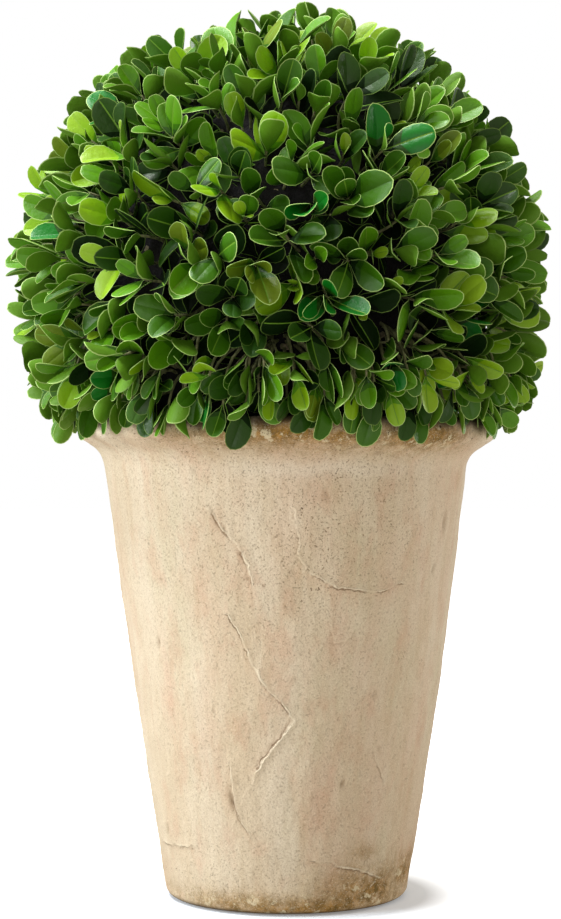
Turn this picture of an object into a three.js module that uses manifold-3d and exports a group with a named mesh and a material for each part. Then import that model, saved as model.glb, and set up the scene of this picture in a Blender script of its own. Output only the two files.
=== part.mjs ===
// A clipped ball of common box, growing on a short stem in a tapered clay pot with a flared rim.
// Lengths are in millimetres and +Z is up. The origin is the centre of the pot's flat underside.

import * as THREE from "three";
import { mergeVertices } from "three/addons/utils/BufferGeometryUtils.js";
import Module from "manifold-3d";

const wasm = await Module();
wasm.setup();

// Left open between two pieces that rest on each other.
const SEAT_GAP = 0.3;

// The pot, from its underside to the top of its rim. The wall and the rim's sloping underside meet at
// the neck, and the underside and the rim's upright face at the rim's lower edge. Each of these corners
// is rounded over the same length on both of its sides.
const POT_HEIGHT = 203;
const BASE_RADIUS = 51.5;
const FOOT_ROUNDING = 4.5;
const NECK_RADIUS = 78;
const NECK_HEIGHT = 187;
const NECK_ROUNDING = 5;
const WALL_BELLY = 1.2; // how far the wall stands outside a straight cone, at half its height
const WALL_THICKNESS = 8.5;
const FLOOR_THICKNESS = 11;
const RIM_RADIUS = 89.5;
const RIM_FACE = 8; // height of the rim's upright face
const RIM_ROUNDING = 2.5;
const LIP_ROUNDING = 3;
const RIM_WIDTH = 9; // from the upright face to the edge of the mouth
const MOUTH_SLOPE = [2, 4]; // how far the edge of the mouth falls inwards, and how far down
const POT_SIDES = 48;
const OUTER_STEPS = 6;
const INNER_STEPS = 2;
const CURVE_STEPS = 3;

// The soil, filled to below the rim and level round the stem.
const SOIL_LEVEL = 165;
const SOIL_FALL = 4; // how much lower it lies at the wall
const SOIL_LEVEL_RADIUS = 26;

// The stem, from a flat cut at soil level to its tip in the middle of the crown.
const STEM_FOOT_RADIUS = 9;
const STEM_TIP_RADIUS = 4.5;
const STEM_TIP_HEIGHT = 228;
const ROOT_FLARE = 6; // how far the roots stand out at soil level
const ROOT_FLARE_HEIGHT = 9; // in this height the flare falls to about a third
const ROOT_COUNT = 5;
const ROOT_RIDGE = 0.4; // how much more the flare stands out along a root, as a share of it
const STEM_LEAN = 0.07; // sideways shift for each millimetre of height
const STEM_SIDES = 15;
const STEM_STEPS = 6;
const STEM_STEP_POWER = 1.6; // above 1, so that the steps lie closer at the flare
const STEM_CLEARANCE = 0.4; // between the stem and the crown that is cut clear of it

// The clipped crown: a ball, how far tips end inside or outside it, and the dense growth within.
const BALL_CENTRE = new THREE.Vector3(-2.5, 0, 263.5);
const BALL_RADIUS = 116;
const TIP_VARIATION = 2.5;
const CORE_RADIUS = 99;
const CORE_LUMP = 2; // height of its lumps
const LUMP_WAVES = 7; // more waves make smaller lumps
const CORE_FLOOR = 181; // the core is cut flat here, inside the pot's mouth
const PLUG_RADIUS = 73; // of the core inside the mouth
const PLUG_SIDES = 24;
const RIM_CLEARANCE = 1.5;
const CORE_DETAIL = 3;
const SMALLEST_STEP = 0.1; // the joined crown drops corners that change its surface by less than this
const SEED = 42;

// Twigs stand out of the core evenly over the ball. Each forks into side shoots just above it.
const TWIG_COUNT = 50;
const TWIG_TILT = 0.1;
const TWIG_SIDES = 3;
const TWIG_ROOT = 12; // how deep a twig starts inside the core
const TWIG_TOP = 110; // distances from the ball's centre, as the next two are
const FORK_HEIGHT = 101.5;
const SIDE_SHOOT_TOP = 104;
const SIDE_SHOOTS = 2;
const SIDE_SHOOT_TURN = 0.8;
const SIDE_SHOOT_JITTER = 0.25; // how far it turns to either side of its place
const SIDE_SHOOT_SPREAD = 21; // how far to the side a side shoot ends
const TWIG_RADII = [3.4, 1.8]; // at its root and at its top
const SIDE_SHOOT_RADII = [1.5, 1.5];
const LOWEST_TWIG = -0.66; // twigs that point further down would stand inside the pot

// Where leaves stand: opposite pairs along a twig, and a fan of pairs along a side shoot, as shares of
// their length and, in the fan, the angles to the shoot.
const TWIG_PAIRS = [0.76, 0.9];
const SIDE_SHOOT_FAN = [
  [0.5, 1.7],
  [0.88, 0.7],
];

// One leaf, larger than life so that these few close the ball.
const LEAF_LENGTH = 30.5;
const LEAF_WIDTH = 20.5;
const LEAF_THICKNESS = 1.4;
const LEAF_THICKEST = 0.3; // where it is that thick, as a share of its length
const LEAF_WIDEST = 0.52;
const LEAF_SHOULDER = 0.92;
const LEAF_TIP_SHARE = 0.55; // how wide its blunt tip is, as a share of its width
const LEAF_CUP = 1.8; // how far its sides are raised
const LEAF_ROOT = 0.3; // how far its root reaches past the middle of the shoot
const ROOT_OVERLAP = 0.3; // the volume that two leaves of one shoot may share at their roots
const LEAF_SIZES = [0.86, 1.12];
const LEAF_TRIES = 12;
const LEAF_TURN = 0.2; // how far a leaf turns out of its place, and how much more at each further try
const LEAF_TURN_STEP = 0.08;
const LEAF_GAP = 0.15;
const LEAF_REACH = 85; // shoots with their middles further apart than this can't touch each other's leaves

const GOLDEN_ANGLE = Math.PI * (3 - Math.sqrt(5));
const UP = new THREE.Vector3(0, 0, 1);
const SIDEWAYS = new THREE.Vector3(1, 0, 0);
const NEARLY_UPRIGHT = 0.9; // the rise of a direction that is too steep to be crossed with UP
const NEARLY_ZERO = 0.01;
const MERGE_DISTANCE = 1e-4; // corners closer than this are one

// The same numbers from 0 to 1 in every run, by the mulberry32 generator.
function seeded(seed) {
  let state = seed;
  return () => {
    state = (state + 0x6d2b79f5) | 0;
    let t = Math.imul(state ^ (state >>> 15), 1 | state);
    t = (t + Math.imul(t ^ (t >>> 7), 61 | t)) ^ t;
    return ((t ^ (t >>> 14)) >>> 0) / 4294967296;
  };
}

// A closed geometry as a manifold-3d solid.
function solidOf(geometry) {
  const bare = geometry.clone();
  bare.deleteAttribute("normal");
  bare.deleteAttribute("uv");
  const merged = mergeVertices(bare, MERGE_DISTANCE);
  const vertProperties = merged.attributes.position.array;
  return new wasm.Manifold(new wasm.Mesh({ numProp: 3, vertProperties, triVerts: merged.index.array }));
}

// A manifold-3d solid as a geometry.
function geometryOf(solid) {
  const mesh = solid.getMesh();
  const geometry = new THREE.BufferGeometry();
  geometry.setAttribute("position", new THREE.BufferAttribute(mesh.vertProperties, 3));
  geometry.setIndex(new THREE.BufferAttribute(mesh.triVerts, 1));
  geometry.computeVertexNormals();
  return geometry;
}

// A profile of radius and height, turned about the vertical axis.
function turned(profile, sides) {
  return new THREE.LatheGeometry(profile, sides).rotateX(Math.PI / 2);
}

// ---- Pot and soil ----

// The radius of the pot's outer wall at a height.
function wallRadius(height) {
  const share = height / NECK_HEIGHT;
  return THREE.MathUtils.lerp(BASE_RADIUS, NECK_RADIUS, share) + 4 * WALL_BELLY * share * (1 - share);
}

function evenHeights(from, to, steps) {
  return Array.from({ length: steps + 1 }, (_, k) => THREE.MathUtils.lerp(from, to, k / steps));
}

function potProfile() {
  const wallTop = NECK_HEIGHT - NECK_ROUNDING;
  const neck = new THREE.Vector2(NECK_RADIUS, NECK_HEIGHT);
  const edge = new THREE.Vector2(RIM_RADIUS, POT_HEIGHT - RIM_FACE);
  const slope = edge.clone().sub(neck).normalize();
  const underside = [
    neck.clone().addScaledVector(slope, NECK_ROUNDING),
    edge.clone().addScaledVector(slope, -RIM_ROUNDING),
  ];
  const mouth = RIM_RADIUS - RIM_WIDTH;
  const [inwards, down] = MOUTH_SLOPE;
  const outside = evenHeights(FOOT_ROUNDING, wallTop, OUTER_STEPS).slice(1);
  const inside = evenHeights(wallTop, FLOOR_THICKNESS, INNER_STEPS);
  const path = new THREE.Path();
  path.moveTo(0, 0);
  path.lineTo(BASE_RADIUS - FOOT_ROUNDING, 0);
  path.quadraticCurveTo(BASE_RADIUS, 0, wallRadius(FOOT_ROUNDING), FOOT_ROUNDING);
  outside.forEach((z) => path.lineTo(wallRadius(z), z));
  path.quadraticCurveTo(...neck, ...underside[0]);
  path.lineTo(...underside[1]);
  path.quadraticCurveTo(...edge, RIM_RADIUS, edge.y + RIM_ROUNDING);
  path.lineTo(RIM_RADIUS, POT_HEIGHT - LIP_ROUNDING);
  path.quadraticCurveTo(RIM_RADIUS, POT_HEIGHT, RIM_RADIUS - LIP_ROUNDING, POT_HEIGHT);
  path.quadraticCurveTo(mouth, POT_HEIGHT, mouth - inwards, POT_HEIGHT - down);
  inside.forEach((z) => path.lineTo(wallRadius(z) - WALL_THICKNESS, z));
  path.lineTo(0, FLOOR_THICKNESS);
  return path.getPoints(CURVE_STEPS);
}

function soilProfile() {
  const floor = FLOOR_THICKNESS + SEAT_GAP;
  const wallGap = WALL_THICKNESS + 2 * SEAT_GAP;
  const path = new THREE.Path();
  path.moveTo(0, floor);
  path.lineTo(wallRadius(floor) - wallGap, floor);
  path.lineTo(wallRadius(SOIL_LEVEL - SOIL_FALL) - wallGap, SOIL_LEVEL - SOIL_FALL);
  path.lineTo(SOIL_LEVEL_RADIUS, SOIL_LEVEL);
  path.lineTo(0, SOIL_LEVEL);
  return path.getPoints();
}

// ---- Stem ----

// The stem, or with a margin the room that it needs in the crown.
function stemGeometry(margin = 0) {
  const foot = SOIL_LEVEL + SEAT_GAP;
  const profile = [new THREE.Vector2(0, foot)];
  for (let k = 0; k <= STEM_STEPS; k += 1) {
    const share = (k / STEM_STEPS) ** STEM_STEP_POWER;
    const height = THREE.MathUtils.lerp(foot, STEM_TIP_HEIGHT, share);
    profile.push(new THREE.Vector2(THREE.MathUtils.lerp(STEM_FOOT_RADIUS, STEM_TIP_RADIUS, share), height));
  }
  profile.push(new THREE.Vector2(0, STEM_TIP_HEIGHT));
  const geometry = turned(profile, STEM_SIDES);
  const position = geometry.attributes.position;
  for (let i = 0; i < position.count; i += 1) {
    const p = new THREE.Vector3().fromBufferAttribute(position, i);
    const rise = p.z - foot;
    const radius = Math.hypot(p.x, p.y);
    const angle = Math.atan2(p.y, p.x);
    const ridges = 1 - ROOT_RIDGE + ROOT_RIDGE * Math.cos(ROOT_COUNT * angle);
    const flare = ROOT_FLARE * ridges * Math.exp(-rise / ROOT_FLARE_HEIGHT);
    const wide = radius > NEARLY_ZERO ? radius + flare + margin : 0;
    const lift = p.z > STEM_TIP_HEIGHT - NEARLY_ZERO ? margin : 0;
    position.setXYZ(i, wide * Math.cos(angle) - STEM_LEAN * rise, wide * Math.sin(angle), p.z + lift);
  }
  return geometry;
}

// ---- Crown ----

// The dense growth inside the ball: a lumpy ball, and a narrower plug of it down in the pot's mouth.
function coreSolid() {
  const geometry = new THREE.IcosahedronGeometry(1, CORE_DETAIL);
  const position = geometry.attributes.position;
  for (let i = 0; i < position.count; i += 1) {
    const p = new THREE.Vector3().fromBufferAttribute(position, i).normalize();
    const wave = p.clone().multiplyScalar(LUMP_WAVES);
    const lump = (Math.sin(wave.x + 1) * Math.sin(wave.y + 2) + Math.sin(wave.z + wave.x)) / 2;
    p.multiplyScalar(CORE_RADIUS + CORE_LUMP * lump).add(BALL_CENTRE);
    position.setXYZ(i, p.x, p.y, p.z);
  }
  const room = new THREE.Path();
  room.moveTo(0, 0);
  room.lineTo(2 * CORE_RADIUS, 0);
  room.lineTo(2 * CORE_RADIUS, POT_HEIGHT + RIM_CLEARANCE);
  room.lineTo(PLUG_RADIUS, POT_HEIGHT + RIM_CLEARANCE);
  room.lineTo(PLUG_RADIUS, CORE_FLOOR);
  room.lineTo(0, CORE_FLOOR);
  return solidOf(geometry).subtract(solidOf(turned(room.getPoints(), PLUG_SIDES)));
}

// The frame of a piece at a point that runs along one direction and turns its +Z towards another.
function frameAt(point, along, facing) {
  const side = new THREE.Vector3().crossVectors(along, facing).normalize();
  const front = new THREE.Vector3().crossVectors(side, along).normalize();
  return new THREE.Matrix4().makeBasis(side, along, front).setPosition(point);
}

// A direction that stands out of a ball's surface sideways, turned about its outward direction.
function sideOf(outward, turn) {
  const across = Math.abs(outward.z) < NEARLY_UPRIGHT ? UP : SIDEWAYS;
  return new THREE.Vector3().crossVectors(outward, across).normalize().applyAxisAngle(outward, turn);
}

// A point of the ball, by its direction from the centre and its distance from there.
function ballPoint(direction, distance) {
  return direction.clone().multiplyScalar(distance).add(BALL_CENTRE);
}

// A straight tapering twig.
function twigSolid(from, to, fromRadius, toRadius) {
  const along = to.clone().sub(from);
  const geometry = new THREE.CylinderGeometry(toRadius, fromRadius, along.length(), TWIG_SIDES);
  const middle = from.clone().lerp(to, 0.5);
  along.normalize();
  return solidOf(geometry.applyMatrix4(frameAt(middle, along, sideOf(along, 0))));
}

// One leaf along +Y from its root, upper side towards +Z: wide past the middle, with a blunt tip.
function leafGeometry(length, width) {
  const half = width / 2;
  const tip = LEAF_TIP_SHARE * half;
  const outline = [
    [0, 0, 0],
    [half, LEAF_WIDEST * length, LEAF_CUP],
    [tip, LEAF_SHOULDER * length, LEAF_CUP / 2],
    [-tip, LEAF_SHOULDER * length, LEAF_CUP / 2],
    [-half, LEAF_WIDEST * length, LEAF_CUP],
  ];
  const upper = outline.length;
  const lower = upper + 1;
  const middle = [1, -1].map((side) => [0, LEAF_THICKEST * length, (side * LEAF_THICKNESS) / 2]);
  const faces = [];
  outline.forEach((_, k) => {
    const next = (k + 1) % outline.length;
    faces.push(k, next, upper);
    faces.push(next, k, lower);
  });
  const geometry = new THREE.BufferGeometry();
  geometry.setAttribute("position", new THREE.Float32BufferAttribute([...outline, ...middle].flat(), 3));
  return geometry.setIndex(faces);
}

// A leaf that stands out of a shoot at a point, turned about the ball's outward direction there.
// It leans out or in so that its tip ends at a distance from the ball's centre.
function leafSolid(point, turn, size, tipDistance) {
  const height = point.distanceTo(BALL_CENTRE);
  const length = LEAF_LENGTH * size;
  const cosine = (tipDistance ** 2 - height ** 2 - length ** 2) / (2 * height * length);
  const lean = Math.acos(THREE.MathUtils.clamp(cosine, -1, 1));
  const outward = point.clone().sub(BALL_CENTRE).normalize();
  const side = sideOf(outward, turn);
  const along = outward.clone().multiplyScalar(Math.cos(lean)).addScaledVector(side, Math.sin(lean));
  const root = point.clone().addScaledVector(along, -LEAF_ROOT);
  return solidOf(leafGeometry(length, LEAF_WIDTH * size).applyMatrix4(frameAt(root, along, outward)));
}

// The directions of the twigs, spread evenly over the ball and then tilted a little.
function twigDirections(random) {
  const directions = Array.from({ length: TWIG_COUNT }, (_, k) => {
    const height = 1 - (2 * (k + 0.5)) / TWIG_COUNT;
    const round = Math.sqrt(1 - height * height);
    const turn = k * GOLDEN_ANGLE;
    const tilt = new THREE.Vector3(2 * random() - 1, 2 * random() - 1, 2 * random() - 1);
    const even = new THREE.Vector3(round * Math.cos(turn), round * Math.sin(turn), height);
    return even.addScaledVector(tilt, TWIG_TILT).normalize();
  });
  return directions.filter((direction) => direction.z > LOWEST_TWIG);
}

// A straight shoot, with the places on it where leaves stand. Each place has a share of the shoot's
// length and the way in which the leaf turns about the ball's outward direction there.
function makeShoot(from, to, radii, places) {
  const spots = places.map(([share, turn]) => ({ point: from.clone().lerp(to, share), turn }));
  return { solid: twigSolid(from, to, ...radii), middle: from.clone().lerp(to, 0.5), spots, leaves: [] };
}

// A twig that stands out of the core, followed by its side shoots.
function growTwig(direction, random) {
  const start = random() * Math.PI;
  const quarter = Math.PI / 2;
  const root = ballPoint(direction, CORE_RADIUS - TWIG_ROOT);
  const crosswise = TWIG_PAIRS.flatMap((share, k) =>
    [-quarter, quarter].map((way) => [share, start + way + k * quarter]),
  );
  const shoots = [makeShoot(root, ballPoint(direction, TWIG_TOP), TWIG_RADII, crosswise)];
  for (let k = 0; k < SIDE_SHOOTS; k += 1) {
    const jitter = SIDE_SHOOT_JITTER * (2 * random() - 1);
    const turn = start + SIDE_SHOOT_TURN + (2 * Math.PI * k) / SIDE_SHOOTS + jitter;
    const side = sideOf(direction, turn);
    const fork = ballPoint(direction, FORK_HEIGHT);
    const tip = ballPoint(direction, SIDE_SHOOT_TOP).addScaledVector(side, SIDE_SHOOT_SPREAD);
    const fan = SIDE_SHOOT_FAN.flatMap(([share, angle]) => [-angle, angle].map((way) => [share, turn + way]));
    shoots.push(makeShoot(fork, tip, SIDE_SHOOT_RADII, fan));
  }
  return shoots;
}

// Whether a solid keeps inside the crown's reach.
function withinReach(solid) {
  const { vertProperties } = solid.getMesh();
  for (let i = 0; i < vertProperties.length; i += 3) {
    const distance = new THREE.Vector3().fromArray(vertProperties, i).distanceTo(BALL_CENTRE);
    if (distance > BALL_RADIUS + TIP_VARIATION) return false;
  }
  return true;
}

// The first of some tries at a leaf that keeps inside the reach and touches nothing but its own shoot.
function growLeaf(shoot, spot, random, isClear) {
  for (let n = 0; n < LEAF_TRIES; n += 1) {
    const size = THREE.MathUtils.lerp(...LEAF_SIZES, random());
    const turn = spot.turn + (LEAF_TURN + n * LEAF_TURN_STEP) * (2 * random() - 1);
    const tipDistance = BALL_RADIUS + TIP_VARIATION * (2 * random() - 1);
    const leaf = leafSolid(spot.point, turn, size, tipDistance);
    if (withinReach(leaf) && isClear(leaf, shoot)) return leaf;
  }
  return null;
}

// The clipped ball: core, shoots and leaves in one solid that keeps clear of the limbs.
function crownGeometry(limbs, stemRoom) {
  const random = seeded(SEED);
  const clearOfLimbs = (solid) => limbs.every((limb) => solid.minGap(limb, 1) > SEAT_GAP);
  const grown = twigDirections(random).map((direction) => growTwig(direction, random));
  const standing = grown.filter(([twig]) => clearOfLimbs(twig.solid));
  const shoots = standing.flat().filter((shoot) => clearOfLimbs(shoot.solid));
  const isClear = (leaf, shoot) => {
    const near = shoots.filter((other) => other.middle.distanceTo(shoot.middle) < LEAF_REACH);
    const solids = near.flatMap((other) => (other === shoot ? [] : [other.solid, ...other.leaves]));
    const crossed = shoot.leaves.some((own) => leaf.intersect(own).volume() > ROOT_OVERLAP);
    return !crossed && clearOfLimbs(leaf) && solids.every((solid) => leaf.minGap(solid, 1) > LEAF_GAP);
  };
  for (let k = 0; k < 2 * TWIG_PAIRS.length; k += 1) {
    for (const shoot of shoots) {
      const leaf = growLeaf(shoot, shoot.spots[k], random, isClear);
      if (leaf) shoot.leaves.push(leaf);
    }
  }
  const pieces = [coreSolid(), ...shoots.flatMap((shoot) => [shoot.solid, ...shoot.leaves])];
  const bodies = wasm.Manifold.union(pieces).subtract(stemRoom).simplify(SMALLEST_STEP).decompose();
  bodies.sort((a, b) => b.volume() - a.volume());
  return geometryOf(bodies[0]);
}

// ---- Materials ----

const clay = new THREE.MeshStandardMaterial({ color: 0xd3bd9b, roughness: 0.92, metalness: 0 });
const compost = new THREE.MeshStandardMaterial({ color: 0x3a2a1e, roughness: 0.98, metalness: 0 });
const bark = new THREE.MeshStandardMaterial({ color: 0x8a7656, roughness: 0.9, metalness: 0 });
const leafGreen = new THREE.MeshStandardMaterial({ color: 0x3f7a1e, roughness: 0.45, metalness: 0 });

function named(name, geometry, material) {
  const mesh = new THREE.Mesh(geometry, material);
  mesh.name = name;
  return mesh;
}

// ---- The plant in its pot ----

const potGeometry = turned(potProfile(), POT_SIDES);
const soilGeometry = turned(soilProfile(), POT_SIDES);
const limbs = [potGeometry, soilGeometry, stemGeometry()].map(solidOf);
const crown = crownGeometry(limbs, solidOf(stemGeometry(STEM_CLEARANCE)));

const topiary = new THREE.Group();
topiary.add(
  named("pot", potGeometry, clay),
  named("soil", soilGeometry, compost),
  named("stem", stemGeometry(), bark),
  named("foliage_ball", crown, leafGreen),
);

export default topiary;
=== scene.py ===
# The looks of a clipped box ball in a clay pot: leaves, twigs and stem, soil, and worn clay.
# Shapes are worked out in millimetres in the part's own frame and become metres in new_piece().

import math

import bmesh
import bpy
import numpy as np
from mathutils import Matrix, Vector, noise
from mathutils.bvhtree import BVHTree


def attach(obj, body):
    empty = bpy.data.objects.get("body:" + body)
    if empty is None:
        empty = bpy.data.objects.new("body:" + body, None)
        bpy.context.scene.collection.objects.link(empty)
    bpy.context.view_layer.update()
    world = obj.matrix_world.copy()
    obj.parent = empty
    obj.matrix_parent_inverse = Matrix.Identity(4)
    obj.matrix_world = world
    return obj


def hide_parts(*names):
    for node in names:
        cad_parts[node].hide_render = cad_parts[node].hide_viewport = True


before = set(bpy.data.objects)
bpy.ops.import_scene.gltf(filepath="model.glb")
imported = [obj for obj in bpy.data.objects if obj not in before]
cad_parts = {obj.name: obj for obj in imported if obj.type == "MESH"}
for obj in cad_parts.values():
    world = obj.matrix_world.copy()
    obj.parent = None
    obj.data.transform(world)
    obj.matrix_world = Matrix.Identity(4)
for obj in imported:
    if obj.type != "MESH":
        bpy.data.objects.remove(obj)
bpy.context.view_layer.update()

MM = 0.001
BODY = "root"
SEED = 41
rng = np.random.default_rng(SEED)

# The crown: a ball, its furthest tips, and the dense growth that closes it inside.
BALL_CENTRE = np.array([-2.5, 0.0, 263.5])
TIP_REACH = 118.5
CORE_RADIUS = 84.0
CORE_RELIEF = 4.0
CORE_BUMPS = 9.0  # their size
PLUG_RADIUS = 73.0  # of the inner growth where it goes down into the pot's mouth
CORE_FLOOR = 182.0

# The pot, as in the part's source.
POT_HEIGHT = 203.0
BASE_RADIUS = 51.5
FOOT_ROUNDING = 4.5
NECK_RADIUS = 78.0
NECK_HEIGHT = 187.0
NECK_ROUNDING = 5.0
WALL_BELLY = 1.2
WALL_THICKNESS = 8.5
FLOOR_THICKNESS = 11.0
RIM_RADIUS = 89.5
RIM_FACE = 8.0
RIM_ROUNDING = 2.5
LIP_ROUNDING = 3.0
RIM_WIDTH = 9.0
MOUTH_SLOPE = np.array([-2.0, -4.0])
MOUTH_SHARE = 0.3  # of the mouth's unevenness in the ring below it

# The pot's mesh: its columns lie closer together at the front.
ROW_SPACING = 1.07
POT_COLUMNS = 420
FRONT_DENSITY = 2.6
FRONT_MIDDLE = 4
FRONT_HALF_WIDTH = 56

# The stem and the soil.
SOIL_LEVEL = 165.0
SOIL_FALL = 4.0
SOIL_GAP = 0.6
CRUMB_TOP = 0.4
STEM_FOOT = 165.3
STEM_TIP = 228.0
STEM_FOOT_RADIUS = 9.0
STEM_TIP_RADIUS = 4.5
STEM_LEAN = 0.07
ROOT_FLARE = 6.0
ROOT_FLARE_HEIGHT = 9.0
ROOT_COUNT = 5
BARK_RELIEF = 0.45
BARK_DEPTH = 0.3

GOLDEN_ANGLE = math.pi * (3 - math.sqrt(5))


# ---- Meshes ----


def new_piece(name, points, triangles, materials, which=None, attributes=None):
    """A smooth mesh from points in millimetres and rows of three indices, one material index a face."""
    mesh = bpy.data.meshes.new(name)
    count = len(triangles)
    mesh.vertices.add(len(points))
    mesh.vertices.foreach_set("co", (np.asarray(points) * MM).astype(np.float32).ravel())
    mesh.loops.add(3 * count)
    mesh.loops.foreach_set("vertex_index", np.asarray(triangles).astype(np.int32).ravel())
    mesh.polygons.add(count)
    mesh.polygons.foreach_set("loop_start", np.arange(0, 3 * count, 3, dtype=np.int32))
    mesh.polygons.foreach_set("use_smooth", np.ones(count, dtype=bool))
    if which is not None:
        mesh.polygons.foreach_set("material_index", np.asarray(which).astype(np.int32))
    for key, values in (attributes or {}).items():
        layer = mesh.attributes.new(key, "FLOAT", "POINT")
        layer.data.foreach_set("value", np.asarray(values).astype(np.float32))
    mesh.update(calc_edges=True)
    for material in materials:
        mesh.materials.append(material)
    piece = bpy.data.objects.new(name, mesh)
    bpy.context.collection.objects.link(piece)
    return piece


def joined(parts):
    """Several (points, triangles) as one."""
    points = []
    triangles = []
    first = 0
    for part_points, part_triangles in parts:
        points.append(part_points)
        triangles.append(part_triangles + first)
        first += len(part_points)
    return np.concatenate(points), np.concatenate(triangles)


def grid_triangles(rows, columns):
    """The triangles of a grid of points, row by row, each row joined round."""
    row, column = np.meshgrid(np.arange(rows - 1), np.arange(columns), indexing="ij")
    a = row * columns + column
    b = row * columns + (column + 1) % columns
    quads = np.stack([a, b, b + columns, a + columns], axis=-1).reshape(-1, 4)
    return np.concatenate([quads[:, [0, 1, 2]], quads[:, [0, 2, 3]]])


def fan(ring, middle):
    """The triangles that join a ring of points to one in its middle."""
    return np.stack([np.full(len(ring), middle), np.roll(ring, -1), ring], axis=1)


def closed_triangles(rows, columns, count):
    """A closed grid of points with both ends fanned in to two more points, at indices count and count + 1."""
    start = np.arange(columns)
    end_fan = fan(start + (rows - 1) * columns, count + 1)[:, [0, 2, 1]]
    return np.concatenate([grid_triangles(rows, columns), fan(start, count), end_fan])


def upright(radius, angle, height):
    """Points at radii, angles and heights about the upright axis."""
    return np.stack([radius * np.cos(angle), radius * np.sin(angle), height], axis=1)


def from_front(radius, angle, height):
    """The same, with angles that start at the pot's front."""
    return np.stack([radius * np.sin(angle), -radius * np.cos(angle), height], axis=1)


def fractal(points, size, octaves):
    """Smooth noise from -1 to 1 at points in millimetres, with bumps of about a size."""
    return np.array([noise.fractal(Vector(p / size), 0.6, 2.0, octaves) for p in points])


def unit(vectors):
    return vectors / np.linalg.norm(vectors, axis=-1, keepdims=True)


def smooth_step(low, high, value):
    share = np.clip((value - low) / (high - low), 0, 1)
    return share * share * (3 - 2 * share)


def hump(value, middle, half_width):
    """1 at the middle value, and less and less on both sides of it."""
    return np.exp(-(((value - middle) / half_width) ** 2))


def apart(turn, angle):
    """How many degrees turns are from an angle, from -180 to 180."""
    return (turn - angle + 180) % 360 - 180


# ---- Materials ----

GLOSS_SPREAD = 0.09  # how far a leaf's roughness goes up and down


def srgb(red, green, blue):
    """A colour given as it looks on a screen, 0 to 255, for a shader."""
    channels = [c / 255 for c in (red, green, blue)]
    return [c / 12.92 if c <= 0.04045 else ((c + 0.055) / 1.055) ** 2.4 for c in channels] + [1.0]


class Shader:
    """A new material, with short ways to add and join its nodes."""

    def __init__(self, name):
        self.material = bpy.data.materials.new(name)
        self.material.use_nodes = True
        self.tree = self.material.node_tree
        self.surface = self.tree.nodes["Principled BSDF"]
        self.place = self.tree.nodes.new("ShaderNodeTexCoord").outputs["Object"]

    def put(self, socket, value):
        """Set an input to a constant, or join another node's output to it."""
        if isinstance(value, bpy.types.NodeSocket):
            self.tree.links.new(value, socket)
        elif value is not None:
            socket.default_value = value

    def add(self, kind, **inputs):
        node = self.tree.nodes.new(kind)
        for key, value in inputs.items():
            self.put(node.inputs[key], value)
        return node

    def scaled(self, scale):
        return self.add("ShaderNodeMapping", Scale=scale, Vector=self.place).outputs["Vector"]

    def noise(self, scale, detail, roughness, stretch=(1, 1, 1)):
        values = {"Scale": scale, "Detail": detail, "Roughness": roughness}
        return self.add("ShaderNodeTexNoise", Vector=self.scaled(stretch), **values).outputs["Fac"]

    def ramp(self, source, stops):
        node = self.add("ShaderNodeValToRGB", Fac=source)
        elements = node.color_ramp.elements
        while len(elements) < len(stops):
            elements.new(0.5)
        for element, (position, colour) in zip(elements, stops):
            element.position = position
            element.color = colour
        return node.outputs["Color"]

    def mask(self, source, low, high):
        """From 0 at the low value to 1 at the high one, or the other way round where low is above high."""
        stops = [(low, (0, 0, 0, 1)), (high, (1, 1, 1, 1))]
        return self.ramp(source, sorted(stops, key=lambda stop: stop[0]))

    def attribute(self, name):
        node = self.tree.nodes.new("ShaderNodeAttribute")
        node.attribute_name = name
        return node.outputs["Fac"]

    def maths(self, operation, first, second):
        node = self.tree.nodes.new("ShaderNodeMath")
        node.operation = operation
        for socket, value in zip(node.inputs, (first, second)):
            self.put(socket, value)
        return node.outputs["Value"]

    def mix(self, share, first, second):
        node = self.tree.nodes.new("ShaderNodeMix")
        node.data_type = "RGBA"
        colours = [socket for socket in node.inputs if socket.type == "RGBA"]
        for socket, value in zip([node.inputs[0], *colours], (share, first, second)):
            self.put(socket, value)
        return next(socket for socket in node.outputs if socket.type == "RGBA")

    def over(self, colour, share, strength, *screen_colour):
        """A colour with another laid over it by a share times a strength."""
        return self.mix(self.maths("MULTIPLY", share, strength), colour, srgb(*screen_colour))

    def bump(self, height, distance, strength, below=None):
        values = {"Distance": distance, "Strength": strength}
        return self.add("ShaderNodeBump", Height=height, Normal=below, **values).outputs["Normal"]

    def finish(self, colour, roughness, normal=None, **values):
        values.update(Base_Color=colour, Roughness=roughness, Normal=normal)
        for key, value in values.items():
            self.put(self.surface.inputs[key.replace("_", " ")], value)
        return self.material


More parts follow.
